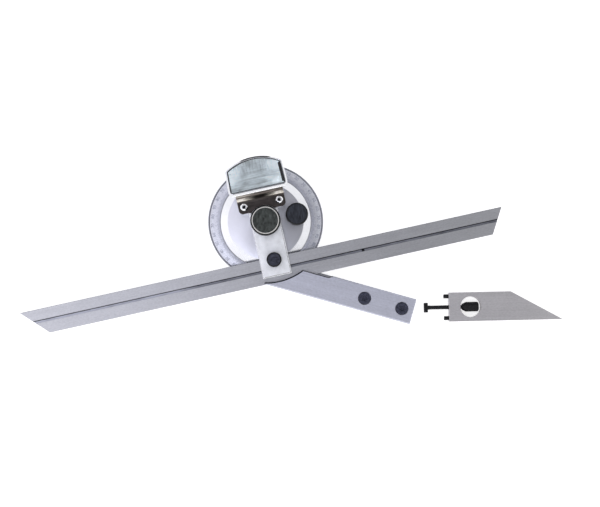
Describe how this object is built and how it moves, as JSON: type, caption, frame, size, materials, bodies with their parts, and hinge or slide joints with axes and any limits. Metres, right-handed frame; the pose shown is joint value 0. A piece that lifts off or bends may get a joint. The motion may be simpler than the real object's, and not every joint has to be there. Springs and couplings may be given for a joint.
{
  "type": "universal bevel protractor",
  "caption": "Steel bevel protractor with stock, graduated dial, sliding blade, fine adjustment, magnifier and a separate acute angle attachment.",
  "frame": {"origin": "where the swivel axis meets the flat back", "axes": "+Z out of the dial towards the reader, +X along the stock away from the dial, -Y out of the stock's working edge"},
  "size_m": [0.3185, 0.1473, 0.0193],
  "materials": {
    "ground_steel": "fine ground and brushed tool steel",
    "satin_chrome": "satin chrome plate with black filled graduations",
    "bright_chrome": "bright chrome plate",
    "black_oxide": "black oxide on knurled steel",
    "bronzed_steel": "dark polished spring steel",
    "bearing_bronze": "machined bearing bronze",
    "hardened_steel": "hardened steel, machined",
    "lens_glass": "polished clear glass"
  },
  "bodies": {
    "dial": {"dial_body": "ground_steel", "dial_ring": "satin_chrome", "ring_gear": "hardened_steel", "spindle": "hardened_steel", "thrust_washer": "hardened_steel", "disc_spring": "hardened_steel", "stock_spacer": "ground_steel", "stock_front_bar": "ground_steel", "stock_screw_inner": "black_oxide", "stock_screw_outer": "black_oxide", "attachment_block": "ground_steel", "locating_pin_upper": "black_oxide", "locating_pin_lower": "black_oxide"},
    "turret": {"turret_plate": "satin_chrome", "turret_bush": "bearing_bronze", "pinion_bush": "bearing_bronze", "turret_arm": "satin_chrome", "magnifier_bracket": "bronzed_steel", "bracket_screw_left": "bright_chrome", "bracket_screw_right": "bright_chrome", "lens_frame": "bright_chrome", "magnifier_lens": "lens_glass"},
    "fine_adjust": {"pinion_shaft": "hardened_steel", "fine_adjust_knob": "black_oxide"},
    "lock": {"lock_knob": "black_oxide"},
    "clamp": {"clamp_knob": "black_oxide", "clamp_screw": "hardened_steel"},
    "shoe": {"clamp_shoe": "hardened_steel"},
    "blade": {"blade": "ground_steel"},
    "thumb_nut": {"thumb_nut": "black_oxide"},
    "t_bolt": {"t_bolt": "black_oxide"}
  },
  "joints": [
    {"name": "turret_swivel", "type": "hinge", "parent": "dial", "child": "turret", "pos_m": [0, 0, 0.004], "axis": [0, 0, 1], "range_deg": [-12, 88]},
    {"name": "fine_adjust_spin", "type": "hinge", "parent": "turret", "child": "fine_adjust", "pos_m": [0.01722, 0.00915, 0.008], "axis": [0, 0, 1], "range_deg": [-660, 90]},
    {"name": "lock_knob_turn", "type": "hinge", "parent": "dial", "child": "lock", "pos_m": [0, 0, 0.014], "axis": [0, 0, 1], "range_deg": [0, 180]},
    {"name": "clamp_knob_turn", "type": "hinge", "parent": "turret", "child": "clamp", "pos_m": [0.01136, -0.02137, 0.0127], "axis": [0, 0, 1], "range_deg": [0, 180]},
    {"name": "clamp_shoe_lift", "type": "slide", "parent": "turret", "child": "shoe", "axis": [0, 0, 1], "range_m": [0, 0.00025]},
    {"name": "blade_slide", "type": "slide", "parent": "turret", "child": "blade", "axis": [0.8829, 0.4695, 0], "range_m": [-0.12, 0.13]},
    {"name": "thumb_nut_turn", "type": "hinge", "parent": "dial", "child": "thumb_nut", "pos_m": [0.12161, -0.0205, 0.0032], "axis": [0.9573, 0.289, 0], "range_deg": [0, 720]},
    {"name": "t_bolt_draw", "type": "slide", "parent": "dial", "child": "t_bolt", "axis": [0.9573, 0.289, 0], "range_m": [0, 0.001]}
  ],
  "couplings": [
    {"joint": "fine_adjust_spin", "follows": "turret_swivel", "ratio": -7.5},
    {"joint": "clamp_knob_turn", "follows": "clamp_shoe_lift", "rad_per_m": 12566},
    {"joint": "thumb_nut_turn", "follows": "t_bolt_draw", "rad_per_m": 12566}
  ]
}
